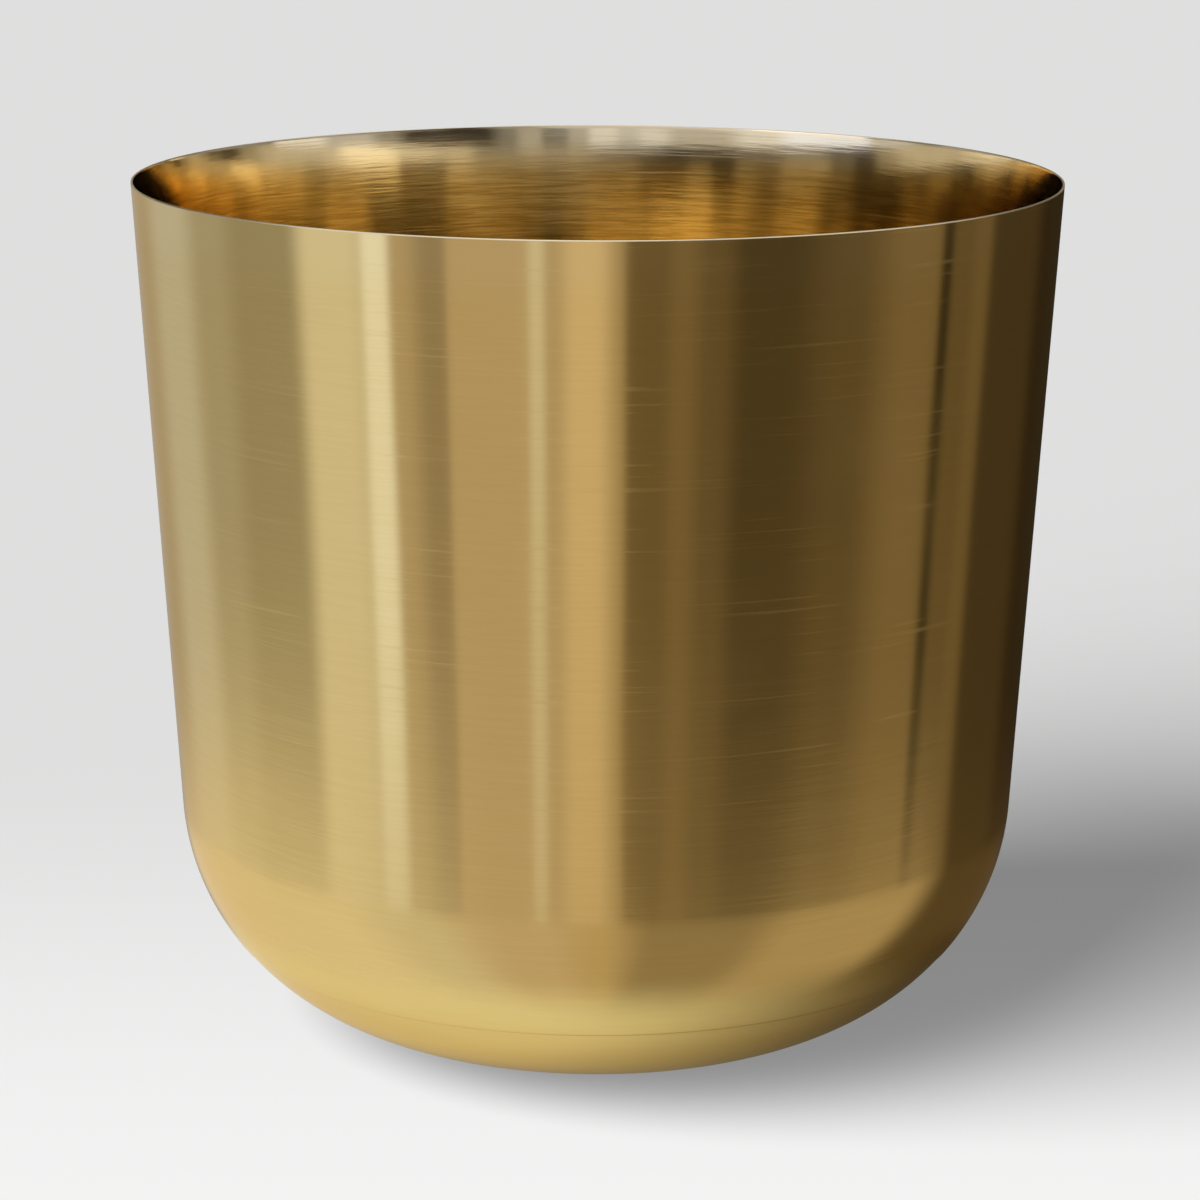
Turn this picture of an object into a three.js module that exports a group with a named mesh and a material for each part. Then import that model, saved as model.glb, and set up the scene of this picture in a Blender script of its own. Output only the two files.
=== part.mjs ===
// A brass planter pot, in millimetres, +Z up.
// A spun sheet shell with a leaning wall, a round lower corner and a flat base with a drain hole at its centre.
// A rubber plug drops into the drain hole from inside, and rubber bumpers stuck under the base carry the pot.
// The origin is on the axis of the pot, at the level that the bumpers stand on.
import * as THREE from "three";

// Shell
const RIM_RADIUS = 152.5; // outside, at the top edge
const SHELL_HEIGHT = 285; // underside of the base to the top edge
const WALL_LEAN = 0.057; // how far the wall runs outwards for each millimetre of height
const CORNER_RADIUS = 80; // outside of the round corner, below the turned line
const SHEET = 0.9; // thickness of the sheet
const LINE_ANGLE = 37; // degrees that the turned line lies round the corner, below the level of its centre
const LINE_STEP = 0.25; // how far the corner stands proud above the turned line
const RIM_BREAK = 0.2; // width of the broken edge on each side of the rim
const DRAIN_RADIUS = 10; // hole in the base

// Bumpers
const BUMPER_COUNT = 4;
const BUMPER_RADIUS = 7;
const BUMPER_HEIGHT = 3;
const BUMPER_ROUND = 0.9; // radius round the foot of a bumper
const BUMPER_INSET = 5; // flat base left outside the bumpers
const GLUE_FILM = 0.1; // adhesive between a bumper and the base

// Drain plug
const PLUG_CLEARANCE = 0.3; // between the stem and the drain hole, on the radius
const PLUG_SEAT_GAP = 0.1; // between the flange and the base
const PLUG_FLANGE_LIP = 6; // how far the flange covers the base around the hole
const PLUG_LANDING = 3; // bare base left around the flange, inside of where a pot or a saucer may stand
const PLUG_FLANGE_THICKNESS = 1.8;
const PLUG_FLOOR_GAP = 0.8; // from the end of the stem to the level that the pot stands on
const PLUG_STEM_TAPER = 0.6; // how much slimmer the stem is at its end, on the radius
const PLUG_NECK_RADIUS = 4;
const PLUG_NECK_HEIGHT = 3;
const PLUG_KNOB_RADIUS = 6;
const PLUG_KNOB_HEIGHT = 3;

// Fineness of the round shapes
const SHELL_SIDES = 72;
const SMALL_SIDES = 32;
const CORNER_STEPS = 12; // pieces of arc in the whole corner
const ROUND_STEPS = 3; // pieces of arc in a small round edge

// Places that follow from the sizes
const BASE_LEVEL = BUMPER_HEIGHT; // underside of the base
const FLOOR_LEVEL = BASE_LEVEL + SHEET; // top of the base, inside the pot
const RIM_LEVEL = BASE_LEVEL + SHELL_HEIGHT;
const LEAN_ANGLE = Math.atan(WALL_LEAN);
const UPPER_CORNER_RADIUS = CORNER_RADIUS + LINE_STEP;
const CORNER_CENTRE_LEVEL = BASE_LEVEL + CORNER_RADIUS;
// The upper corner touches the wall's line, which sets how far out the corner's centre lies.
const CORNER_CENTRE_OUT =
  RIM_RADIUS -
  WALL_LEAN * (RIM_LEVEL - CORNER_CENTRE_LEVEL) -
  UPPER_CORNER_RADIUS / Math.cos(LEAN_ANGLE);

/** A point of a profile: distance from the axis, and level. */
function at(out, level) {
  return new THREE.Vector2(out, level);
}

/** Points of an arc of a profile. Angles are in radians from straight out, and positive is up. */
function arc(centreOut, centreLevel, radius, from, to, steps) {
  const points = [];
  for (let i = 0; i <= steps; i++) {
    const angle = from + ((to - from) * i) / steps;
    points.push(
      at(
        centreOut + radius * Math.cos(angle),
        centreLevel + radius * Math.sin(angle),
      ),
    );
  }
  return points;
}

/** A profile turned round the Z axis. */
function turned(profile, sides) {
  const geometry = new THREE.LatheGeometry(profile, sides);
  geometry.rotateX(Math.PI / 2);
  return geometry;
}

/** The point at a level on the wall's outside, moved in by some thickness square to the wall. */
function onWall(level, inwards) {
  const out = RIM_RADIUS - WALL_LEAN * (RIM_LEVEL - level);
  return at(out - inwards / Math.cos(LEAN_ANGLE), level);
}

/** The spun shell: one sheet from the drain hole, round the corner and up to the rim. */
function shellGeometry() {
  const line = -THREE.MathUtils.degToRad(LINE_ANGLE);
  const wallStart = -LEAN_ANGLE;
  const corner = (radius, from, to) => {
    const share = Math.abs(to - from) / (Math.PI / 2 - LEAN_ANGLE);
    const steps = Math.max(2, Math.round(CORNER_STEPS * share));
    return arc(CORNER_CENTRE_OUT, CORNER_CENTRE_LEVEL, radius, from, to, steps);
  };
  const profile = [
    at(DRAIN_RADIUS, BASE_LEVEL),
    ...corner(CORNER_RADIUS, -Math.PI / 2, line),
    ...corner(UPPER_CORNER_RADIUS, line, wallStart),
    onWall(RIM_LEVEL - RIM_BREAK, 0),
    onWall(RIM_LEVEL, RIM_BREAK),
    onWall(RIM_LEVEL, SHEET - RIM_BREAK),
    onWall(RIM_LEVEL - RIM_BREAK, SHEET),
    ...corner(CORNER_RADIUS - SHEET, wallStart, -Math.PI / 2),
    at(DRAIN_RADIUS + PLUG_FLANGE_LIP + PLUG_LANDING, FLOOR_LEVEL),
    at(DRAIN_RADIUS, FLOOR_LEVEL),
    at(DRAIN_RADIUS, BASE_LEVEL),
  ];
  return turned(profile, SHELL_SIDES);
}

/** The rubber plug: a tapered stem, a flange that lies on the base, and a knob on a neck to pull it by. */
function plugGeometry() {
  const flangeUnder = FLOOR_LEVEL + PLUG_SEAT_GAP;
  const flangeTop = flangeUnder + PLUG_FLANGE_THICKNESS;
  const neckTop = flangeTop + PLUG_NECK_HEIGHT;
  const knobTop = neckTop + PLUG_KNOB_HEIGHT;
  const stemRadius = DRAIN_RADIUS - PLUG_CLEARANCE;
  const flangeRadius = DRAIN_RADIUS + PLUG_FLANGE_LIP;
  const flangeRound = PLUG_FLANGE_THICKNESS / 2;
  const knobRound = PLUG_KNOB_HEIGHT / 2;
  const quarter = Math.PI / 2;
  const profile = [
    at(0, PLUG_FLOOR_GAP),
    at(stemRadius - PLUG_STEM_TAPER, PLUG_FLOOR_GAP),
    at(stemRadius, BASE_LEVEL),
    at(stemRadius, flangeUnder),
    ...arc(
      flangeRadius - flangeRound,
      flangeUnder + flangeRound,
      flangeRound,
      -quarter,
      quarter,
      2 * ROUND_STEPS,
    ),
    at(PLUG_NECK_RADIUS, flangeTop),
    at(PLUG_NECK_RADIUS, neckTop),
    ...arc(
      PLUG_KNOB_RADIUS - knobRound,
      neckTop + knobRound,
      knobRound,
      -quarter,
      quarter,
      2 * ROUND_STEPS,
    ),
    at(0, knobTop),
  ];
  return turned(profile, SMALL_SIDES);
}

/** One rubber bumper, standing on the origin. */
function bumperGeometry() {
  const top = BASE_LEVEL - GLUE_FILM;
  const profile = [
    at(0, 0),
    ...arc(
      BUMPER_RADIUS - BUMPER_ROUND,
      BUMPER_ROUND,
      BUMPER_ROUND,
      -Math.PI / 2,
      0,
      ROUND_STEPS,
    ),
    at(BUMPER_RADIUS, top),
    at(0, top),
  ];
  return turned(profile, SMALL_SIDES);
}

const brass = new THREE.MeshStandardMaterial({
  color: 0xc7a258,
  metalness: 1,
  roughness: 0.28,
});
const plugRubber = new THREE.MeshStandardMaterial({
  color: 0x1b1b1c,
  metalness: 0,
  roughness: 0.65,
});
const bumperRubber = new THREE.MeshStandardMaterial({
  color: 0x2a2928,
  metalness: 0,
  roughness: 0.55,
});

/** A named mesh. */
function piece(name, geometry, material) {
  const mesh = new THREE.Mesh(geometry, material);
  mesh.name = name;
  return mesh;
}

const pot = new THREE.Group();
pot.add(piece("shell", shellGeometry(), brass));
pot.add(piece("drain_plug", plugGeometry(), plugRubber));

// The bumpers stand in a ring on the flat of the base, half a space round from the X axis.
const bumperRing = CORNER_CENTRE_OUT - BUMPER_INSET - BUMPER_RADIUS;
for (let i = 0; i < BUMPER_COUNT; i++) {
  const angle = ((i + 0.5) / BUMPER_COUNT) * 2 * Math.PI;
  const bumper = piece(`bumper_${i + 1}`, bumperGeometry(), bumperRubber);
  bumper.position.set(
    bumperRing * Math.cos(angle),
    bumperRing * Math.sin(angle),
    0,
  );
  pot.add(bumper);
}

export default pot;
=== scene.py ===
"""Looks of a brass planter pot: a brushed brass shell, a rubber drain plug and four rubber bumpers.

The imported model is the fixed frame. The shell, the plug and the bumpers are turned again here as fine
meshes, each in the place of its plain solid, and dressed in brushed brass or moulded rubber. Every size is
in metres and every level is measured from the surface that the pot stands on.
"""

from __future__ import annotations

import logging
import math
from dataclasses import dataclass, field
from enum import Enum

import bmesh
import bpy
from mathutils import Matrix, Vector


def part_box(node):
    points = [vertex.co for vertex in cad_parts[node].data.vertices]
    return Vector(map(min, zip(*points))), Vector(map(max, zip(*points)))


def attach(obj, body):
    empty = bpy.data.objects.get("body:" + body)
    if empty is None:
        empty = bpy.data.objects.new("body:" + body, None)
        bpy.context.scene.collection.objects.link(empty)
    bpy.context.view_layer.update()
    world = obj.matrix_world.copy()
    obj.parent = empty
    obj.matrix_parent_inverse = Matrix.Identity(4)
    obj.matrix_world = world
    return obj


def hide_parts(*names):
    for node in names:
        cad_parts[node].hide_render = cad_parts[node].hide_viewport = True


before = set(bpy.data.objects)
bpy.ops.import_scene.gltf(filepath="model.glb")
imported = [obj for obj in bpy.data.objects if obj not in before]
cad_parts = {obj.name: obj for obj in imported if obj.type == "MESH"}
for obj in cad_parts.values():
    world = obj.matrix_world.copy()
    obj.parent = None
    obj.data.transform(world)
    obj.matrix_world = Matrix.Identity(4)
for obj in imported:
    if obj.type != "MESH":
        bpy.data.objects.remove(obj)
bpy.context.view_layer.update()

LOG = logging.getLogger("planter_pot")
MM = 0.001
RUN_MAP = "Brushing"  # UV map of a turned piece: the run along its outline, and the turn round its axis
SAME_PLACE = 1e-7  # points nearer than this are one point
ON_AXIS = 1e-6  # a point nearer the axis than this has no bearing of its own

Colour = tuple[float, float, float]
Socket = bpy.types.NodeSocket


class Zone(Enum):
    """Stretches of the shell's sheet that are finished in their own way. The value is the material slot."""

    OUTSIDE = 0
    EDGE = 1
    INSIDE = 2


# ---------------------------------------------------------------------------------------------------
# Turned shapes
# ---------------------------------------------------------------------------------------------------


def eased(share: float) -> float:
    """Returns a share from 0 to 1, eased at both ends."""
    return share * share * (3.0 - 2.0 * share)


@dataclass
class Outline:
    """Half of a turned piece's section: points out from the axis and up, and where each zone begins.

    Args:
        points: the points so far, as (distance from the axis, level).
        zones: for each zone, the number of the point that it begins at.
    """

    points: list[Vector] = field(default_factory=list)
    zones: list[tuple[int, int]] = field(default_factory=list)

    def zone(self, slot: int) -> None:
        """Starts a zone of the outline, which takes this material slot."""
        self.zones.append((max(len(self.points) - 1, 0), slot))

    def to(self, out: float, level: float, pieces: int = 1) -> None:
        """Goes straight on to a point, in this many pieces."""
        if not self.points:
            self.points.append(Vector((out, level)))
            return
        start, end = self.points[-1].copy(), Vector((out, level))
        for i in range(1, pieces + 1):
            self.points.append(start.lerp(end, i / pieces))

    def arc(
        self,
        out: float,
        level: float,
        radius: float,
        start: float,
        end: float,
        pieces: int,
        to_radius: float | None = None,
    ) -> None:
        """Goes round an arc.

        Args:
            out: distance of the arc's centre from the axis.
            level: level of the arc's centre.
            radius: radius of the arc.
            start: where the arc starts, in degrees from straight out, and positive is up.
            end: where it ends.
            pieces: straight pieces that make it up.
            to_radius: the radius that it eases to by its end. Without one, the radius stays.
        """
        growth = 0.0 if to_radius is None else to_radius - radius
        for i in range(pieces + 1):
            share = i / pieces
            angle = math.radians(start + (end - start) * share)
            reach = radius + growth * eased(share)
            point = Vector((out + reach * math.cos(angle), level + reach * math.sin(angle)))
            if self.points and (self.points[-1] - point).length < SAME_PLACE:
                continue
            self.points.append(point)

    def runs(self) -> list[float]:
        """Returns the length run along the outline up to each point."""
        total, result = 0.0, [0.0]
        for a, b in zip(self.points, self.points[1:]):
            total += (b - a).length
            result.append(total)
        return result

    def slots(self) -> list[tuple[float, int]]:
        """Returns the run that each zone begins at, with its material slot."""
        runs = self.runs()
        return [(runs[begins], slot) for begins, slot in self.zones]


@dataclass
class TurnedMesh:
    """A piece turned from an outline round an upright axis.

    Args:
        name: the piece's name.
        outline: half of its section.
        sides: faces round the axis.
        closes: whether the outline closes on itself, as a hollow sheet's does.
        centre: where its axis stands.
    """

    name: str
    outline: Outline
    sides: int
    closes: bool = False
    centre: tuple[float, float] = (0.0, 0.0)

    def build(self, materials: list[bpy.types.Material]) -> bpy.types.Object:
        """Spins the outline into a mesh object.

        Args:
            materials: the materials, in the order of the outline's slots.

        Returns:
            The new object, at the origin, with its place in its mesh.
        """
        bm = bmesh.new()
        run_layer = bm.verts.layers.float.new("run")
        verts = []
        for point, run in zip(self.outline.points, self.outline.runs()):
            vert = bm.verts.new((point.x, 0.0, point.y))
            vert[run_layer] = run
            verts.append(vert)
        edges = [bm.edges.new(pair) for pair in zip(verts, verts[1:])]
        if self.closes:
            edges.append(bm.edges.new((verts[-1], verts[0])))
        bmesh.ops.spin(
            bm,
            geom=verts + edges,
            cent=(0.0, 0.0, 0.0),
            axis=(0.0, 0.0, 1.0),
            angle=math.tau,
            steps=self.sides,
            use_merge=True,
        )
        bmesh.ops.remove_doubles(bm, verts=bm.verts, dist=SAME_PLACE)
        bmesh.ops.recalc_face_normals(bm, faces=bm.faces)
        self._map_runs(bm, run_layer)
        bmesh.ops.translate(bm, verts=bm.verts, vec=(*self.centre, 0.0))
        mesh = bpy.data.meshes.new(self.name)
        bm.to_mesh(mesh)
        bm.free()
        for material in materials:
            mesh.materials.append(material)
        piece = bpy.data.objects.new(self.name, mesh)
        bpy.context.scene.collection.objects.link(piece)
        return piece

    def _map_runs(self, bm: bmesh.types.BMesh, run_layer: bmesh.types.BMLayerItem) -> None:
        """Writes the run and the turn into the UV map, and gives each face its material slot."""
        uv_layer = bm.loops.layers.uv.new(RUN_MAP)
        total = self.outline.runs()[-1]
        slots = self.outline.slots()
        for face in bm.faces:
            face.smooth = True
            middle = face.calc_center_median()
            turn = math.atan2(middle.y, middle.x)
            runs = [loop.vert[run_layer] for loop in face.loops]
            crosses = max(runs) - min(runs) > total / 2
            if crosses:
                runs = [run + total if run < total / 2 else run for run in runs]
            for loop, run in zip(face.loops, runs):
                place = loop.vert.co
                angle = math.atan2(place.y, place.x) if place.xy.length > ON_AXIS else turn
                angle += math.tau * round((turn - angle) / math.tau)
                loop[uv_layer].uv = (run, angle / math.tau)
            run = sum(runs) / len(runs)
            face.material_index = [slot for begins, slot in slots if run >= begins][-1]


# ---------------------------------------------------------------------------------------------------
# Finishes
# ---------------------------------------------------------------------------------------------------


class Graph:
    """Adds nodes to a node tree and wires them."""

    def __init__(self, tree: bpy.types.NodeTree) -> None:
        """Takes over a tree, and empties it."""
        self.tree = tree
        tree.nodes.clear()

    def node(self, kind: str, **values: object) -> bpy.types.Node:
        """Adds a node, and sets its properties and its sockets by name."""
        made = self.tree.nodes.new(kind)
        for name, value in values.items():
            if hasattr(made, name):
                setattr(made, name, value)
            else:
                self.feed(made.inputs[name.replace("_", " ").title()], value)
        return made

    def feed(self, socket: Socket, value: object) -> None:
        """Links a socket to another, or sets it to a plain value."""
        if isinstance(value, bpy.types.NodeSocket):
            self.tree.links.new(value, socket)
        elif isinstance(value, tuple) and len(value) == 3 and socket.type == "RGBA":
            socket.default_value = (*value, 1.0)
        else:
            socket.default_value = value

    def math(self, operation: str, *values: object, clamp: bool = False) -> Socket:
        """Returns the result of a Math node on up to three values."""
        made = self.tree.nodes.new("ShaderNodeMath")
        made.operation = operation
        made.use_clamp = clamp
        for socket, value in zip(made.inputs, values):
            self.feed(socket, value)
        return made.outputs[0]

    def ramp(self, value: object, low: float, high: float, start: float = 0.0, end: float = 1.0) -> Socket:
        """Returns a smooth step from start at low to end at high."""
        made = self.tree.nodes.new("ShaderNodeMapRange")
        made.interpolation_type = "SMOOTHSTEP"
        for name, given in (
            ("Value", value),
            ("From Min", low),
            ("From Max", high),
            ("To Min", start),
            ("To Max", end),
        ):
            self.feed(made.inputs[name], given)
        return made.outputs["Result"]

    def vector(self, x: object, y: object, z: object) -> Socket:
        """Returns a vector made of three values."""
        made = self.tree.nodes.new("ShaderNodeCombineXYZ")
        for socket, value in zip(made.inputs, (x, y, z)):
            self.feed(socket, value)
        return made.outputs[0]

    def split(self, vector: Socket) -> tuple[Socket, Socket, Socket]:
        """Returns the three parts of a vector."""
        made = self.tree.nodes.new("ShaderNodeSeparateXYZ")
        self.feed(made.inputs[0], vector)
        return made.outputs[0], made.outputs[1], made.outputs[2]

    def noise(self, vector: Socket, scale: float, detail: float = 2.0, roughness: float = 0.5) -> Socket:
        """Returns smooth noise from 0 to 1."""
        made = self.tree.nodes.new("ShaderNodeTexNoise")
        self.feed(made.inputs["Vector"], vector)
        made.inputs["Scale"].default_value = scale
        made.inputs["Detail"].default_value = detail
        made.inputs["Roughness"].default_value = roughness
        return made.outputs["Fac"]

    def blend(self, share: object, first: object, second: object, mode: str = "MIX") -> Socket:
        """Returns a mix of two colours."""
        made = self.tree.nodes.new("ShaderNodeMix")
        made.data_type = "RGBA"
        made.blend_type = mode
        self.feed(made.inputs["Factor"], share)
        colours = [socket for socket in made.inputs if socket.type == "RGBA"]
        self.feed(colours[0], first)
        self.feed(colours[1], second)
        return [socket for socket in made.outputs if socket.type == "RGBA"][0]

    def bump(
        self,
        height: Socket,
        distance: float,
        strength: float = 1.0,
        normal: Socket | None = None,
    ) -> Socket:
        """Returns the normal that a height in units of distance gives."""
        made = self.tree.nodes.new("ShaderNodeBump")
        made.inputs["Strength"].default_value = strength
        made.inputs["Distance"].default_value = distance
        self.feed(made.inputs["Height"], height)
        if normal is not None:
            self.feed(made.inputs["Normal"], normal)
        return made.outputs["Normal"]


@dataclass(frozen=True)
class BrushedBrass:
    """Brass that was spun and then brushed round its axis.

    Args:
        name: the material's name.
        colour: colour of the clean metal.
        shade: colour along the brush lines, a painted shade that stands in for streaks of reflection along
            the brushing; the haze mixes in the same colour as tone that differs at random.
        lip: colour of the metal close under the rim, a paler painted sheen that stands in for the light the
            metal reflects there at a glancing angle.
        roughness: roughness of the clean metal.
        stretch: how far the brushing draws highlights out across its lines.
        fine_depth: depth of the fine brush lines.
        coarse_depth: depth of the wider brush lines.
        tool_depth: depth of the broad waves that the spinning tool leaves.
        wave_depth: depth of the slow, upright waves of the sheet, which make reflected edges waver.
        line_cells: how many brush lines end to end fit in a metre round the piece.
        streak_painted_shade: how strongly the painted shade of the streaks shows between the brush lines.
        lip_sheen_levels: the levels that the painted sheen of the lip colour starts at and is whole from.
        edge_tint: colour of what the metal reflects at a glancing angle.
        fine_pitch: width of the fine brush lines.
        coarse_pitch: width of the wider brush lines.
        line_ends: sum of both lines' noise where the shade starts and where it is whole.
        tool_cells: how many of the tool's waves end to end fit in a metre.
        tool_pitch: width of the tool's waves.
        wave_cells: how many of the sheet's waves fit in a metre round the piece.
        wave_rise: how many of them fit in a metre of its outline.
        haze_cells: how many patches of haze fit in a metre.
        haze_ends: noise where the haze starts and where it is whole.
        haze_shade: how strongly the shade shows in the haze.
        haze_roughness: roughness that the haze adds.
        scratch_cells: how many scratches end to end fit in a metre round the piece.
        scratch_pitch: width of the scratches.
        scratch_ends: noise where a scratch starts and where it is whole.
        scratch_cut: how deep a scratch is, in depths of a fine line.
        scratch_roughness: roughness that a scratch adds.
    """

    name: str
    colour: Colour
    shade: Colour
    lip: Colour
    roughness: float
    stretch: float
    fine_depth: float
    coarse_depth: float
    tool_depth: float
    wave_depth: float = 0.0
    line_cells: float = 34.0
    streak_painted_shade: float = 0.35
    lip_sheen_levels: tuple[float, float] = (266.0 * MM, 282.0 * MM)
    edge_tint: tuple[float, float, float, float] = (1.0, 0.90, 0.74, 1.0)
    fine_pitch: float = 0.32 * MM
    coarse_pitch: float = 1.3 * MM
    line_ends: tuple[float, float] = (0.85, 1.15)
    tool_cells: float = 5.0
    tool_pitch: float = 9.0 * MM
    wave_cells: float = 26.0
    wave_rise: float = 7.0
    haze_cells: float = 11.0
    haze_ends: tuple[float, float] = (0.38, 0.72)
    haze_shade: float = 0.25
    haze_roughness: float = 0.035
    scratch_cells: float = 24.0
    scratch_pitch: float = 0.7 * MM
    scratch_ends: tuple[float, float] = (0.70, 0.78)
    scratch_cut: float = 0.5
    scratch_roughness: float = 0.05

    def make(self) -> bpy.types.Material:
        """Returns the material, on the run of the outline and on the piece's own coordinates."""
        material = bpy.data.materials.new(self.name)
        material.use_nodes = True
        g = Graph(material.node_tree)
        run, _, _ = g.split(g.node("ShaderNodeUVMap", uv_map=RUN_MAP).outputs[0])
        own = g.node("ShaderNodeTexCoord").outputs["Object"]
        x, y, level = g.split(own)

        def lines(around: float, pitch: float, detail: float) -> Socket:
            """Returns noise drawn out round the piece: cells in a metre round it, and pitch across."""
            place = g.vector(
                g.math("MULTIPLY", x, around),
                g.math("MULTIPLY", y, around),
                g.math("DIVIDE", run, pitch),
            )
            return g.noise(place, scale=1.0, detail=detail, roughness=0.6)

        fine = lines(self.line_cells, self.fine_pitch, detail=2.0)
        coarse = lines(self.line_cells, self.coarse_pitch, detail=2.0)
        tool = lines(self.tool_cells, self.tool_pitch, detail=1.0)
        haze = g.ramp(g.noise(own, self.haze_cells, detail=3.0, roughness=0.55), *self.haze_ends)
        scratches = g.ramp(lines(self.scratch_cells, self.scratch_pitch, detail=0.0), *self.scratch_ends)
        # painted shade: streaks of reflection along the brush lines, painted as darker colour; the haze adds
        # tone that differs at random
        share = g.math("MULTIPLY", g.ramp(g.math("ADD", fine, coarse), *self.line_ends), self.streak_painted_shade)
        share = g.math("ADD", share, g.math("MULTIPLY", haze, self.haze_shade), clamp=True)
        colour = g.blend(share, self.colour, self.shade)
        # painted sheen: paler colour close under the rim, standing in for glancing light
        colour = g.blend(g.ramp(level, *self.lip_sheen_levels), colour, self.lip)
        rough = g.math("ADD", self.roughness, g.math("MULTIPLY", haze, self.haze_roughness))
        rough = g.math("ADD", rough, g.math("MULTIPLY", scratches, self.scratch_roughness))
        wave_place = g.vector(
            g.math("MULTIPLY", x, self.wave_cells),
            g.math("MULTIPLY", y, self.wave_cells),
            g.math("MULTIPLY", run, self.wave_rise),
        )
        waves = g.noise(wave_place, scale=1.0, detail=1.0, roughness=0.4)
        normal = g.bump(waves, self.wave_depth)
        normal = g.bump(tool, self.tool_depth, normal=normal)
        normal = g.bump(coarse, self.coarse_depth, normal=normal)
        scratched = g.math("SUBTRACT", fine, g.math("MULTIPLY", scratches, self.scratch_cut))
        normal = g.bump(scratched, self.fine_depth, normal=normal)
        tangent = g.node("ShaderNodeTangent", direction_type="UV_MAP", uv_map=RUN_MAP)
        shader = g.node("ShaderNodeBsdfPrincipled")
        g.feed(shader.inputs["Base Color"], colour)
        shader.inputs["Metallic"].default_value = 1.0
        g.feed(shader.inputs["Roughness"], rough)
        shader.inputs["Anisotropic"].default_value = self.stretch
        shader.inputs["Specular Tint"].default_value = self.edge_tint
        g.feed(shader.inputs["Normal"], normal)
        g.feed(shader.inputs["Tangent"], tangent.outputs[0])
        out = g.node("ShaderNodeOutputMaterial")
        g.feed(out.inputs["Surface"], shader.outputs[0])
        return material


@dataclass(frozen=True)
class Rubber:
    """Moulded rubber, slightly dusty.

    Args:
        name: the material's name.
        colour: colour of the rubber.
        dust: colour where dust and chalk lie on it.
        roughness: roughness of the clean rubber.
        specular: how strongly the clean rubber reflects.
        grain_cells: how many grains of its surface fit in a metre.
        grain_depth: depth of the grains.
        grain_strength: how strongly the grains show.
        dust_cells: how many patches of dust fit in a metre.
        dust_ends: noise where a patch starts and where it is whole.
        dust_share: how strongly the dust shows.
        dust_roughness: roughness that the dust adds.
    """

    name: str
    colour: Colour
    dust: Colour
    roughness: float
    specular: float = 0.4
    grain_cells: float = 2600.0
    grain_depth: float = 0.05 * MM
    grain_strength: float = 0.5
    dust_cells: float = 130.0
    dust_ends: tuple[float, float] = (0.45, 0.8)
    dust_share: float = 0.55
    dust_roughness: float = 0.18

    def make(self) -> bpy.types.Material:
        """Returns the material, on the piece's own coordinates."""
        material = bpy.data.materials.new(self.name)
        material.use_nodes = True
        g = Graph(material.node_tree)
        own = g.node("ShaderNodeTexCoord").outputs["Object"]
        grain = g.noise(own, self.grain_cells, detail=2.0)
        dusty = g.ramp(g.noise(own, self.dust_cells, detail=4.0, roughness=0.6), *self.dust_ends)
        shader = g.node("ShaderNodeBsdfPrincipled")
        colour = g.blend(g.math("MULTIPLY", dusty, self.dust_share), self.colour, self.dust)
        g.feed(shader.inputs["Base Color"], colour)
        rough = g.math("ADD", self.roughness, g.math("MULTIPLY", dusty, self.dust_roughness))
        g.feed(shader.inputs["Roughness"], rough)
        shader.inputs["Specular IOR Level"].default_value = self.specular
        g.feed(shader.inputs["Normal"], g.bump(grain, self.grain_depth, self.grain_strength))
        out = g.node("ShaderNodeOutputMaterial")
        g.feed(out.inputs["Surface"], shader.outputs[0])
        return material


# ---------------------------------------------------------------------------------------------------
# Pieces
# ---------------------------------------------------------------------------------------------------


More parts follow.
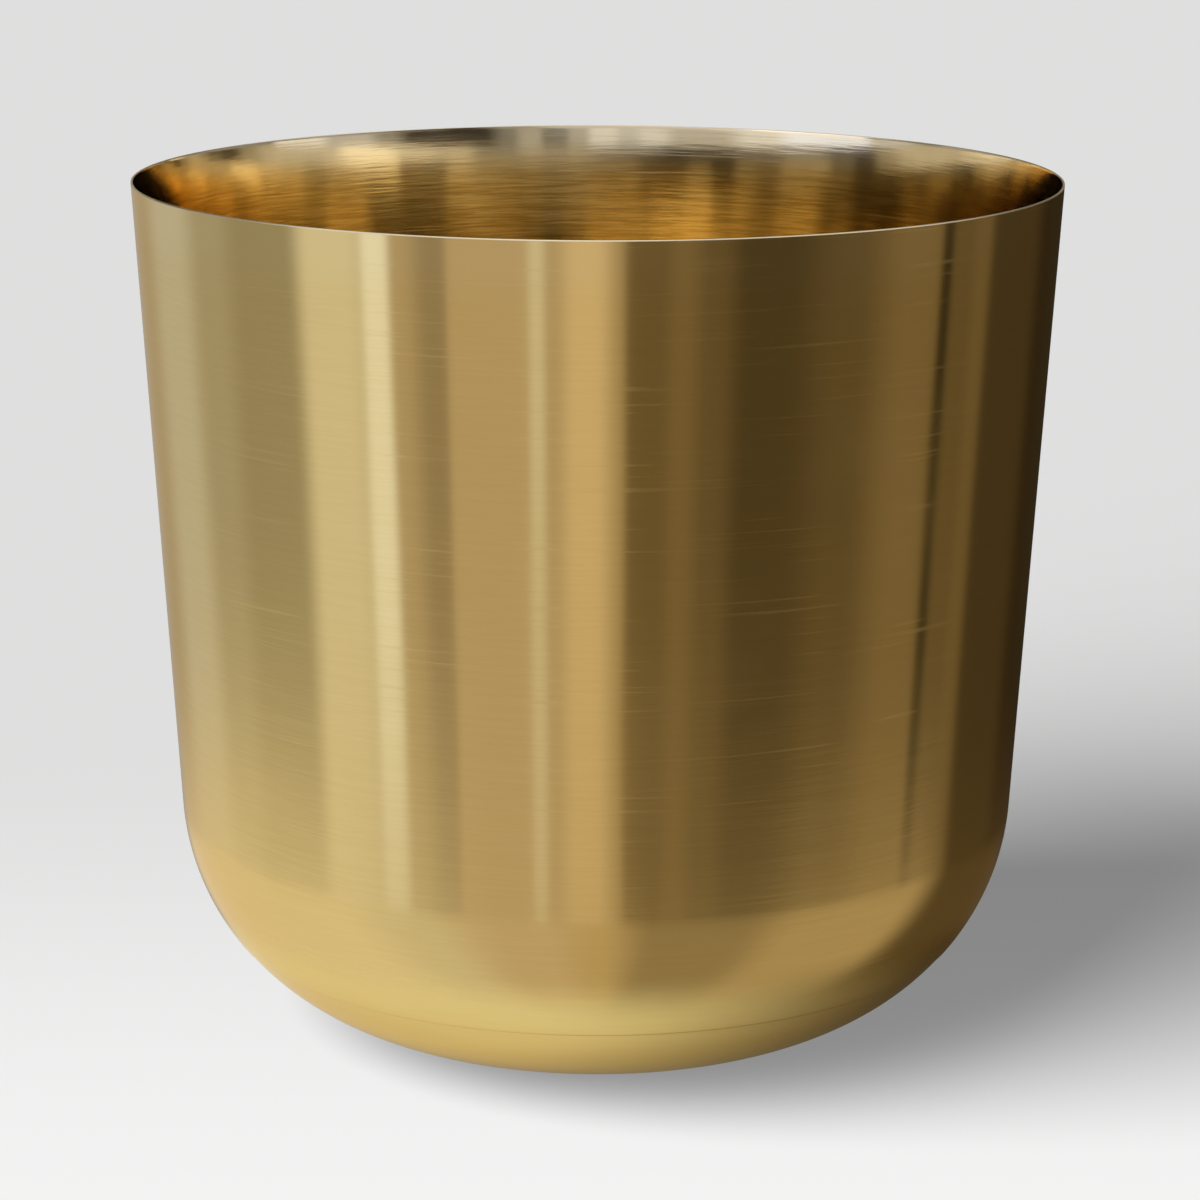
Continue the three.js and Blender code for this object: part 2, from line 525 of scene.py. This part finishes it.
@dataclass
class Shell:
    """The spun brass shell, from the drain hole round the corner and up to the rim."""

    node: str = "shell"
    sheet: float = 0.9 * MM
    corner_radius: float = 80.0 * MM
    line_angle: float = 37.0  # degrees round the corner, below the level of its centre
    line_step: float = 0.25 * MM
    line_spread: float = 0.45  # degrees on each side of the line, over which its step is eased
    lean: float = 0.057
    lip_height: float = 14.0 * MM
    lip_thinning: float = 0.2 * MM  # how much thinner the sheet is buffed at the rim, inside
    rim_band: float = 3.0 * MM  # the top of the wall, which has shorter pieces
    drain_radius: float = 10.0 * MM
    edge_round: float = 0.2 * MM
    sides: int = 288

    def outline(self) -> Outline:
        """Returns the sheet's section, from the drain hole along the outside and back along the inside."""
        low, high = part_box(self.node)
        base, rim, rim_radius = low.z, high.z, high.x + self.lean * self.edge_round
        lean_angle = math.degrees(math.atan(self.lean))
        upright = math.cos(math.radians(lean_angle))
        upper_radius = self.corner_radius + self.line_step
        centre_level = base + self.corner_radius
        centre_out = rim_radius - self.lean * (rim - centre_level) - upper_radius / upright
        centre = (centre_out, centre_level)
        floor = base + self.sheet
        tiny = self.edge_round

        def wall(level: float, inwards: float) -> tuple[float, float]:
            """Returns the wall's point at a level, moved in square to the wall."""
            return rim_radius - self.lean * (rim - level) - inwards / upright, level

        line = Outline()
        line.zone(Zone.EDGE.value)
        line.arc(self.drain_radius + tiny, floor - tiny, tiny, 90.0, 180.0, pieces=3)
        line.arc(self.drain_radius + tiny, base + tiny, tiny, 180.0, 270.0, pieces=3)
        line.zone(Zone.OUTSIDE.value)
        line.to(centre_out, base, pieces=8)
        below, above = -self.line_angle - self.line_spread, -self.line_angle + self.line_spread
        line.arc(*centre, self.corner_radius, -90.0, below, pieces=34)
        line.arc(*centre, self.corner_radius, below, above, pieces=10, to_radius=upper_radius)
        line.arc(*centre, upper_radius, above, -lean_angle, pieces=26)
        line.to(*wall(rim - self.rim_band, 0.0), pieces=24)
        line.to(*wall(rim - 2.0 * tiny, 0.0), pieces=4)
        line.zone(Zone.EDGE.value)
        line.to(*wall(rim - tiny, 0.0))
        line.arc(*wall(rim - tiny, tiny), tiny, 0.0, 90.0, pieces=4)
        thin = self.sheet - self.lip_thinning
        line.arc(*wall(rim - tiny, thin - tiny), tiny, 90.0, 180.0, pieces=4)
        line.zone(Zone.INSIDE.value)
        lip_pieces = 16
        for i in range(1, lip_pieces + 1):
            share = i / lip_pieces
            level = rim - tiny - share * self.lip_height
            line.to(*wall(level, self.sheet - self.lip_thinning * (1.0 - share) ** 2))
        inner = self.corner_radius - self.sheet
        wall_foot = centre_level - inner * math.sin(math.radians(lean_angle))
        line.to(*wall(wall_foot, self.sheet), pieces=24)
        line.arc(*centre, inner, -lean_angle, -90.0, pieces=40)
        line.to(self.drain_radius + 2.0 * tiny, floor, pieces=8)
        return line

    def build(self, finishes: dict[Zone, BrushedBrass]) -> None:
        """Builds the shell and puts it in the place of its solid."""
        turned = TurnedMesh("spun_shell", self.outline(), self.sides, closes=True)
        piece = turned.build([finishes[zone].make() for zone in Zone])
        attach(piece, "pot")
        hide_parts(self.node)
        piece.visible_diffuse = False  # keeps gold light off the floor, which stays a plain grey
        LOG.info("%s: %d faces", piece.name, len(piece.data.polygons))


@dataclass
class DrainPlug:
    """The rubber plug in the drain hole: a tapered stem, a flange on the floor and a knob on a neck."""

    node: str = "drain_plug"
    sides: int = 96
    stem_radius: float = 9.7 * MM
    stem_taper: float = 0.6 * MM
    taper_top: float = 3.0 * MM  # level that the stem's taper ends at
    flange_thickness: float = 1.8 * MM
    neck_radius: float = 4.0 * MM
    neck_height: float = 3.0 * MM
    knob_radius: float = 6.0 * MM
    knob_height: float = 3.0 * MM
    fillet: float = 0.6 * MM

    def outline(self) -> Outline:
        """Returns the plug's section, from the end of its stem to the top of its knob."""
        low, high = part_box(self.node)
        knob_under = high.z - self.knob_height
        flange_top = knob_under - self.neck_height
        flange_under = flange_top - self.flange_thickness
        round_radius = self.flange_thickness / 2
        knob_round = self.knob_height / 2
        f = self.fillet
        line = Outline()
        line.zone(0)
        line.to(0.0, low.z)
        line.to(self.stem_radius - self.stem_taper - f, low.z, pieces=6)
        line.arc(self.stem_radius - self.stem_taper - f, low.z + f, f, -90.0, 0.0, pieces=5)
        line.to(self.stem_radius, self.taper_top, pieces=2)
        line.to(self.stem_radius, flange_under)
        line.to(high.x - round_radius, flange_under, pieces=4)
        line.arc(high.x - round_radius, flange_under + round_radius, round_radius, -90.0, 90.0, pieces=14)
        line.to(self.neck_radius + f, flange_top, pieces=6)
        line.arc(self.neck_radius + f, flange_top + f, f, 270.0, 180.0, pieces=5)
        line.arc(self.neck_radius + f, knob_under - f, f, 180.0, 90.0, pieces=5)
        line.arc(self.knob_radius - knob_round, knob_under + knob_round, knob_round, -90.0, 90.0, pieces=14)
        line.to(0.0, high.z, pieces=6)
        return line

    def build(self, rubber: bpy.types.Material) -> None:
        """Builds the plug and puts it in the place of its solid."""
        piece = TurnedMesh("moulded_plug", self.outline(), self.sides).build([rubber])
        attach(piece, "plug")
        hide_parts(self.node)
        LOG.info("%s: %d faces", piece.name, len(piece.data.polygons))


@dataclass
class Bumpers:
    """The rubber bumpers under the base."""

    nodes: tuple[str, ...] = ("bumper_1", "bumper_2", "bumper_3", "bumper_4")
    sides: int = 64
    foot_round: float = 0.9 * MM
    top_round: float = 0.2 * MM

    def build(self, rubber: bpy.types.Material) -> None:
        """Builds each bumper in the place of its solid."""
        for node in self.nodes:
            low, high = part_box(node)
            middle = (low + high) / 2
            radius = (high.x - low.x) / 2
            line = Outline()
            line.zone(0)
            line.to(0.0, low.z)
            foot, top = self.foot_round, self.top_round
            line.to(radius - foot, low.z, pieces=5)
            line.arc(radius - foot, low.z + foot, foot, -90.0, 0.0, pieces=8)
            line.arc(radius - top, high.z - top, top, 0.0, 90.0, pieces=4)
            line.to(0.0, high.z, pieces=5)
            name = node.replace("bumper", "moulded_bumper")
            piece = TurnedMesh(name, line, self.sides, centre=(middle.x, middle.y)).build([rubber])
            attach(piece, "pot")
            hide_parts(node)
            LOG.info("%s: %d faces", piece.name, len(piece.data.polygons))


# ---------------------------------------------------------------------------------------------------
# Studio
# ---------------------------------------------------------------------------------------------------


class Tint(Enum):
    """Colours of the light that the panels send."""

    COOL = (0.96, 1.0, 1.20)
    CLEAR = (1.0, 0.97, 0.98)
    PALE = (1.0, 0.93, 0.84)
    WARM = (1.0, 0.83, 0.68)
    BEIGE = (1.0, 0.80, 0.56)
    BROWN = (1.0, 0.73, 0.42)


@dataclass(frozen=True)
class Panel:
    """A panel of a ring, from the one before it on to its own right edge.

    Args:
        until: bearing of its right edge in degrees. 0 is towards the camera, and positive is to +X.
        light: how bright it is.
        tint: colour of its light.
        fade: how far its right edge fades, each way, in degrees.
    """

    until: float
    light: float
    tint: Tint
    fade: float = 2.0

    def colour(self) -> Colour:
        """Returns its colour, times its brightness."""
        red, green, blue = self.tint.value
        return red * self.light, green * self.light, blue * self.light


@dataclass(frozen=True)
class Ring:
    """A ring of panels round the pot, far off.

    Args:
        name: what it is for.
        above: elevation of its lower edge in degrees.
        fade: how far its lower edge fades, each way.
        panels: its panels, from bearing -180 on round to 180.
        dip: how much further down its lower edge lies at the bearing where it is lowest.
        dips_at: that bearing.
    """

    name: str
    above: float
    fade: float
    panels: tuple[Panel, ...]
    dip: float = 0.0
    dips_at: float = 12.0


RINGS = (
    Ring(
        "ground, under the corner's reflections",
        -90.0,
        1.0,
        (
            Panel(-165.0, 0.30, Tint.PALE, 10.0),
            Panel(-66.0, 0.78, Tint.PALE, 16.0),
            Panel(-38.0, 0.66, Tint.PALE, 12.0),
            Panel(-8.0, 0.57, Tint.WARM, 8.0),
            Panel(9.0, 0.52, Tint.BEIGE, 8.0),
            Panel(52.0, 0.31, Tint.BEIGE, 10.0),
            Panel(108.0, 0.45, Tint.BEIGE, 9.0),
            Panel(180.0, 0.10, Tint.BROWN, 10.0),
        ),
    ),
    Ring(
        "wall, in the outside's reflections",
        -21.9,
        2.8,
        (
            Panel(-142.0, 0.43, Tint.PALE, 8.0),
            Panel(-119.0, 0.56, Tint.COOL, 6.0),
            Panel(-102.0, 0.40, Tint.CLEAR, 5.0),
            Panel(-77.5, 0.33, Tint.PALE, 3.5),
            Panel(-61.5, 0.70, Tint.CLEAR, 2.0),
            Panel(-58.6, 0.64, Tint.CLEAR, 1.0),
            Panel(-51.6, 0.90, Tint.COOL, 1.3),
            Panel(-44.5, 0.45, Tint.WARM, 3.5),
            Panel(-36.6, 0.30, Tint.WARM, 0.8),
            Panel(-16.6, 0.50, Tint.WARM, 1.2),
            Panel(-13.0, 0.66, Tint.CLEAR, 1.2),
            Panel(-8.2, 0.46, Tint.WARM, 3.0),
            Panel(3.2, 0.66, Tint.WARM, 3.4),
            Panel(6.9, 0.38, Tint.BEIGE, 1.0),
            Panel(17.5, 0.145, Tint.BROWN, 2.5),
            Panel(24.5, 0.19, Tint.BROWN, 3.0),
            Panel(33.0, 0.13, Tint.BROWN, 3.5),
            Panel(54.0, 0.070, Tint.BROWN, 7.0),
            Panel(73.0, 0.104, Tint.BROWN, 8.0),
            Panel(92.2, 0.185, Tint.BROWN, 1.0),
            Panel(95.8, 0.02, Tint.BROWN, 1.0),
            Panel(104.5, 0.125, Tint.BROWN, 2.5),
            Panel(112.0, 0.155, Tint.BROWN, 2.5),
            Panel(139.0, 0.06, Tint.BROWN, 6.0),
            Panel(180.0, 0.03, Tint.BROWN, 3.0),
        ),
        dip=4.0,
    ),
    Ring(
        "horizon, in the lip's reflections",
        -3.0,
        2.5,
        (
            Panel(-90.0, 0.36, Tint.PALE, 6.0),
            Panel(-76.0, 0.64, Tint.CLEAR, 3.0),
            Panel(-50.0, 1.02, Tint.COOL, 4.0),
            Panel(-37.0, 0.82, Tint.CLEAR, 4.0),
            Panel(-18.5, 0.54, Tint.PALE, 3.0),
            Panel(-11.0, 0.78, Tint.CLEAR, 2.0),
            Panel(-5.0, 0.62, Tint.CLEAR, 1.5),
            Panel(2.3, 0.88, Tint.CLEAR, 1.5),
            Panel(7.8, 0.42, Tint.PALE, 1.0),
            Panel(14.8, 0.13, Tint.PALE, 1.0),
            Panel(21.0, 0.46, Tint.PALE, 2.0),
            Panel(27.0, 0.20, Tint.PALE, 3.0),
            Panel(53.0, 0.03, Tint.WARM, 3.0),
            Panel(61.0, 0.25, Tint.PALE, 3.0),
            Panel(76.0, 0.50, Tint.CLEAR, 3.0),
            Panel(93.0, 0.92, Tint.CLEAR, 2.0),
            Panel(180.0, 0.28, Tint.PALE, 6.0),
        ),
    ),
    Ring(
        "low sky, in the inside's second reflections",
        3.8,
        1.0,
        (
            Panel(-175.0, 0.25, Tint.PALE, 4.0),
            Panel(-151.0, 0.12, Tint.PALE, 4.0),
            Panel(-139.0, 0.28, Tint.PALE, 4.0),
            Panel(-113.5, 0.38, Tint.PALE, 4.0),
            Panel(-101.0, 0.50, Tint.PALE, 3.0),
            Panel(-87.5, 0.13, Tint.WARM, 3.0),
            Panel(-75.0, 0.24, Tint.WARM, 2.0),
            Panel(-46.0, 1.05, Tint.CLEAR, 4.0),
            Panel(-31.0, 0.80, Tint.CLEAR, 4.0),
            Panel(13.0, 0.60, Tint.CLEAR, 5.0),
            Panel(27.0, 0.34, Tint.PALE, 4.0),
            Panel(41.0, 0.07, Tint.WARM, 3.0),
            Panel(55.0, 0.20, Tint.PALE, 4.0),
            Panel(83.0, 0.42, Tint.PALE, 4.0),
            Panel(96.0, 0.18, Tint.WARM, 3.0),
            Panel(108.5, 0.27, Tint.PALE, 3.0),
            Panel(121.5, 0.03, Tint.BROWN, 3.0),
            Panel(134.0, 0.22, Tint.PALE, 4.0),
            Panel(159.0, 0.10, Tint.WARM, 4.0),
            Panel(180.0, 0.32, Tint.PALE, 4.0),
        ),
    ),
    Ring(
        "middle sky, in the reflections at the inside's ends",
        6.9,
        0.7,
        (
            Panel(-174.0, 0.34, Tint.CLEAR, 4.0),
            Panel(-140.0, 0.68, Tint.CLEAR, 5.0),
            Panel(-116.0, 0.46, Tint.CLEAR, 5.0),
            Panel(-97.0, 0.90, Tint.CLEAR, 5.0),
            Panel(-70.0, 1.10, Tint.CLEAR, 5.0),
            Panel(-40.0, 1.50, Tint.CLEAR, 5.0),
            Panel(-10.0, 0.68, Tint.CLEAR, 5.0),
            Panel(18.0, 0.66, Tint.PALE, 5.0),
            Panel(30.0, 0.36, Tint.PALE, 5.0),
            Panel(58.0, 0.07, Tint.WARM, 5.0),
            Panel(80.0, 0.16, Tint.PALE, 5.0),
            Panel(104.0, 0.05, Tint.WARM, 5.0),
            Panel(150.0, 0.01, Tint.BROWN, 5.0),
            Panel(180.0, 0.09, Tint.PALE, 5.0),
        ),
    ),
    Ring(
        "high sky, in the inside's third reflections",
        10.9,
        0.8,
        (
            Panel(-166.0, 0.12, Tint.PALE, 5.0),
            Panel(-145.0, 0.08, Tint.PALE, 5.0),
            Panel(-126.0, 0.04, Tint.PALE, 5.0),
            Panel(-106.0, 0.30, Tint.PALE, 5.0),
            Panel(-88.0, 0.16, Tint.PALE, 4.0),
            Panel(-68.0, 0.80, Tint.CLEAR, 5.0),
            Panel(-34.0, 0.40, Tint.PALE, 6.0),
            Panel(8.0, 0.68, Tint.PALE, 5.0),
            Panel(24.0, 0.12, Tint.PALE, 5.0),
            Panel(43.0, 0.04, Tint.WARM, 5.0),
            Panel(61.0, 0.24, Tint.PALE, 5.0),
            Panel(80.0, 0.46, Tint.PALE, 5.0),
            Panel(100.0, 0.66, Tint.CLEAR, 5.0),
            Panel(119.0, 0.52, Tint.PALE, 5.0),
            Panel(138.0, 0.14, Tint.PALE, 5.0),
            Panel(157.0, 0.14, Tint.PALE, 5.0),
            Panel(180.0, 0.24, Tint.CLEAR, 5.0),
        ),
    ),
    Ring("ceiling", 50.0, 12.0, (Panel(180.0, 1.0, Tint.CLEAR),)),
)


@dataclass
class Studio:
    """A pale floor, a soft key light, light from panels all round, and the camera."""

    # Painted light on the floor: its paint is paler near the camera and darker far off, standing in for how
    # the light falls across it.
    floor_near_painted_bright: Colour = (0.925, 0.925, 0.925)
    floor_far_painted_dim: Colour = (0.755, 0.755, 0.755)
    floor_painted_falloff_ends: tuple[float, float] = (-0.24, 0.32)  # where the painted falloff of light turns from near to far, along Y
    # Painted light on the bounce board, which shows only in reflections: a pale beige standing in for warm
    # light bounced off the pot, painted shadow of the pot to the right, and painted shade round the foot.
    board_painted_bounce: Colour = (0.82, 0.79, 0.66)
    board_painted_shadow: Colour = (0.16, 0.11, 0.05)
    foot_painted_shade: Colour = (0.86, 0.79, 0.68)  # painted shade round the foot: times the board's colour, close round the pot's foot
    foot_painted_shade_ends: tuple[float, float] = (98.0 * MM, 140.0 * MM)
    board_painted_shadow_ends: tuple[float, float] = (-40.0 * MM, 170.0 * MM)  # where the painted shadow of the pot turns dark, along X
    dome: Colour = (0.29, 0.29, 0.29)  # even light that fills the shadow on the floor
    backdrop: Colour = (0.76, 0.76, 0.765)
    camera_place: tuple[float, float, float] = (0.0, -1.187, 0.4332)
    camera_pitch: float = -13.675  # degrees, as the yaw and the roll are
    camera_yaw: float = -0.055
    camera_roll: float = 0.17
    lens: float = 108.34
    floor_size: float = 80.0
    sheet_sides: int = 96
    board_radius: float = 0.175
    board_fade: float = 0.045  # how far in from its edge it starts to fade away
    board_height: float = 0.2 * MM
    key_bearing: float = -55.0  # degrees, measured as a panel's
    key_elevation: float = 29.0
    key_spread: float = 57.0  # degrees that the light is wide, which softens its shadow
    key_power: float = 4.45
    key_colour: Colour = (1.0, 1.0, 0.995)

    def build(self) -> None:
        """Makes the floor, the light and the camera."""
        self._sheet("floor", self.floor_size / 2.0, self._floor_paint(), reflected=False)
        self._sheet("bounce_board", self.board_radius, self._board_painted_light(), reflected=True)
        self._world()
        self._key()
        self._camera()

    def _floor_paint(self) -> bpy.types.Material:
        """Returns the floor's matt paint, with painted light: paler near the camera and darker far off."""
        material = bpy.data.materials.new("matt_floor_paint")
        material.use_nodes = True
        g = Graph(material.node_tree)
        shader = g.node("ShaderNodeBsdfDiffuse")
        _, y, _ = g.split(g.node("ShaderNodeTexCoord").outputs["Object"])
        g.feed(shader.inputs["Color"], g.blend(g.ramp(y, *self.floor_painted_falloff_ends), self.floor_near_painted_bright, self.floor_far_painted_dim))
        g.feed(g.node("ShaderNodeOutputMaterial").inputs["Surface"], shader.outputs[0])
        return material

    def _board_painted_light(self) -> bpy.types.Material:
        """Returns the board's matt paint, which is painted light: a beige for warm light bounced off the
        pot, painted shadow darker to the right, painted shade by the foot, and clear at the edge.
        """
        material = bpy.data.materials.new("matt_board_paint")
        material.use_nodes = True
        g = Graph(material.node_tree)
        x, y, _ = g.split(g.node("ShaderNodeTexCoord").outputs["Object"])
        shader = g.node("ShaderNodeBsdfDiffuse")
        colour = g.blend(g.ramp(x, *self.board_painted_shadow_ends), self.board_painted_bounce, self.board_painted_shadow)
        reach = g.math("SQRT", g.math("ADD", g.math("MULTIPLY", x, x), g.math("MULTIPLY", y, y)))
        colour = g.blend(g.ramp(reach, *self.foot_painted_shade_ends, 1.0, 0.0), colour, self.foot_painted_shade, "MULTIPLY")
        g.feed(shader.inputs["Color"], colour)
        mix = g.node("ShaderNodeMixShader")
        g.feed(mix.inputs[0], g.ramp(reach, self.board_radius - self.board_fade, self.board_radius))
        g.feed(mix.inputs[1], shader.outputs[0])
        g.feed(mix.inputs[2], g.node("ShaderNodeBsdfTransparent").outputs[0])
        g.feed(g.node("ShaderNodeOutputMaterial").inputs["Surface"], mix.outputs[0])
        return material

    def _sheet(self, name: str, radius: float, paint: bpy.types.Material, reflected: bool) -> None:
        """Makes a flat round sheet on the ground.

        Args:
            name: its name.
            radius: its radius.
            paint: its paint.
            reflected: whether it shows in reflections only, and not in any other way.
        """
        bm = bmesh.new()
        bmesh.ops.create_circle(bm, cap_ends=True, radius=radius, segments=self.sheet_sides)
        level = self.board_height if reflected else 0.0
        bmesh.ops.translate(bm, verts=bm.verts, vec=(0.0, 0.0, level))
        mesh = bpy.data.meshes.new(name)
        bm.to_mesh(mesh)
        bm.free()
        mesh.materials.append(paint)
        sheet = bpy.data.objects.new(name, mesh)
        bpy.context.scene.collection.objects.link(sheet)
        sheet.visible_glossy = reflected
        sheet.visible_camera = not reflected
        sheet.visible_diffuse = not reflected
        sheet.visible_shadow = not reflected

    def _world(self) -> None:
        """Makes the far surroundings: rings of panels for the brass, and even light for what is matt."""
        world = bpy.data.worlds.new("studio")
        bpy.context.scene.world = world
        world.use_nodes = True
        world.cycles.sampling_method = "NONE"
        g = Graph(world.node_tree)
        x, y, z = g.split(g.node("ShaderNodeTexCoord").outputs["Generated"])
        bearing = g.math("DEGREES", g.math("ARCTAN2", x, g.math("MULTIPLY", y, -1.0)))
        elevation = g.math("DEGREES", g.math("ARCSINE", z))
        light = self._ring(g, RINGS[0], bearing)
        for ring in RINGS[1:]:
            height = elevation
            if ring.dip:
                turn = g.math("RADIANS", g.math("SUBTRACT", bearing, ring.dips_at))
                height = g.math("MULTIPLY_ADD", g.math("COSINE", turn), ring.dip, elevation)
            reached = g.ramp(height, ring.above - ring.fade, ring.above + ring.fade)
            light = g.blend(reached, light, self._ring(g, ring, bearing))
            LOG.info("ring of light: %s", ring.name)
        path = g.node("ShaderNodeLightPath")
        light = g.blend(path.outputs["Is Diffuse Ray"], light, self.dome)
        light = g.blend(path.outputs["Is Camera Ray"], light, self.backdrop)
        shader = g.node("ShaderNodeBackground")
        g.feed(shader.inputs["Color"], light)
        out = g.node("ShaderNodeOutputWorld")
        g.feed(out.inputs["Surface"], shader.outputs[0])

    def _ring(self, g: Graph, ring: Ring, bearing: Socket) -> object:
        """Returns the light of a ring at a bearing."""
        light: object = ring.panels[0].colour()
        for before, panel in zip(ring.panels, ring.panels[1:]):
            reached = g.ramp(bearing, before.until - before.fade, before.until + before.fade)
            light = g.blend(reached, light, panel.colour())
        return light

    def _key(self) -> None:
        """Makes the key light, a soft far-off one that lays the pot's shadow on the floor."""
        light = bpy.data.lights.new("key_light", "SUN")
        light.angle = math.radians(self.key_spread)
        light.energy = self.key_power
        light.color = self.key_colour
        lamp = bpy.data.objects.new("key_light", light)
        bpy.context.scene.collection.objects.link(lamp)
        bearing, elevation = math.radians(self.key_bearing), math.radians(self.key_elevation)
        way = Vector(
            (
                math.sin(bearing) * math.cos(elevation),
                -math.cos(bearing) * math.cos(elevation),
                math.sin(elevation),
            )
        )
        lamp.rotation_euler = way.to_track_quat("Z", "Y").to_euler()
        lamp.visible_glossy = False
        lamp.visible_camera = False

    def _camera(self) -> None:
        """Makes the camera, a little above the rim and looking down at the pot."""
        data = bpy.data.cameras.new("camera")
        data.lens = self.lens
        camera = bpy.data.objects.new("camera", data)
        camera.location = self.camera_place
        pitch, yaw, roll = (math.radians(a) for a in (self.camera_pitch, self.camera_yaw, self.camera_roll))
        turn = Matrix.Rotation(yaw, 3, "Z")
        turn @= Matrix.Rotation(math.radians(90.0) + pitch, 3, "X")
        turn @= Matrix.Rotation(roll, 3, "Z")
        camera.rotation_mode = "QUATERNION"
        camera.rotation_quaternion = turn.to_quaternion()
        bpy.context.scene.collection.objects.link(camera)
        bpy.context.scene.camera = camera


PLUG_RUBBER = Rubber(
    "plug_rubber_black",
    colour=(0.012, 0.012, 0.013),
    dust=(0.10, 0.095, 0.09),
    roughness=0.5,
)
BUMPER_RUBBER = Rubber(
    "bumper_rubber_grey",
    colour=(0.024, 0.023, 0.022),
    dust=(0.14, 0.135, 0.13),
    roughness=0.45,
)
FINISHES = {
    Zone.OUTSIDE: BrushedBrass(
        "brass_brushed_outside",
        colour=(0.87, 0.69, 0.305),
        shade=(0.82, 0.64, 0.265),
        lip=(0.87, 0.70, 0.33),
        roughness=0.12,
        stretch=0.78,
        fine_depth=0.002 * MM,
        coarse_depth=0.008 * MM,
        tool_depth=0.014 * MM,
        wave_depth=0.16 * MM,
    ),
    Zone.EDGE: BrushedBrass(
        "brass_cut_edge",
        colour=(0.90, 0.78, 0.46),
        shade=(0.84, 0.70, 0.38),
        lip=(0.96, 0.85, 0.60),
        roughness=0.24,
        stretch=0.3,
        fine_depth=0.001 * MM,
        coarse_depth=0.003 * MM,
        tool_depth=0.001 * MM,
    ),
    Zone.INSIDE: BrushedBrass(
        "brass_brushed_inside",
        colour=(0.94, 0.76, 0.42),
        shade=(0.69, 0.51, 0.215),
        lip=(0.88, 0.78, 0.56),
        roughness=0.07,
        stretch=0.50,
        fine_depth=0.0016 * MM,
        coarse_depth=0.011 * MM,
        tool_depth=0.008 * MM,
        wave_depth=0.05 * MM,
        line_cells=50.0,
        streak_painted_shade=0.8,
    ),
}


def main() -> None:
    """Builds the studio and the pieces."""
    logging.basicConfig(level=logging.INFO, format="%(name)s: %(message)s")
    bpy.context.scene.view_settings.view_transform = "Standard"
    Studio().build()
    Shell().build(FINISHES)
    DrainPlug().build(PLUG_RUBBER.make())
    Bumpers().build(BUMPER_RUBBER.make())


if __name__ == "__main__":
    main()
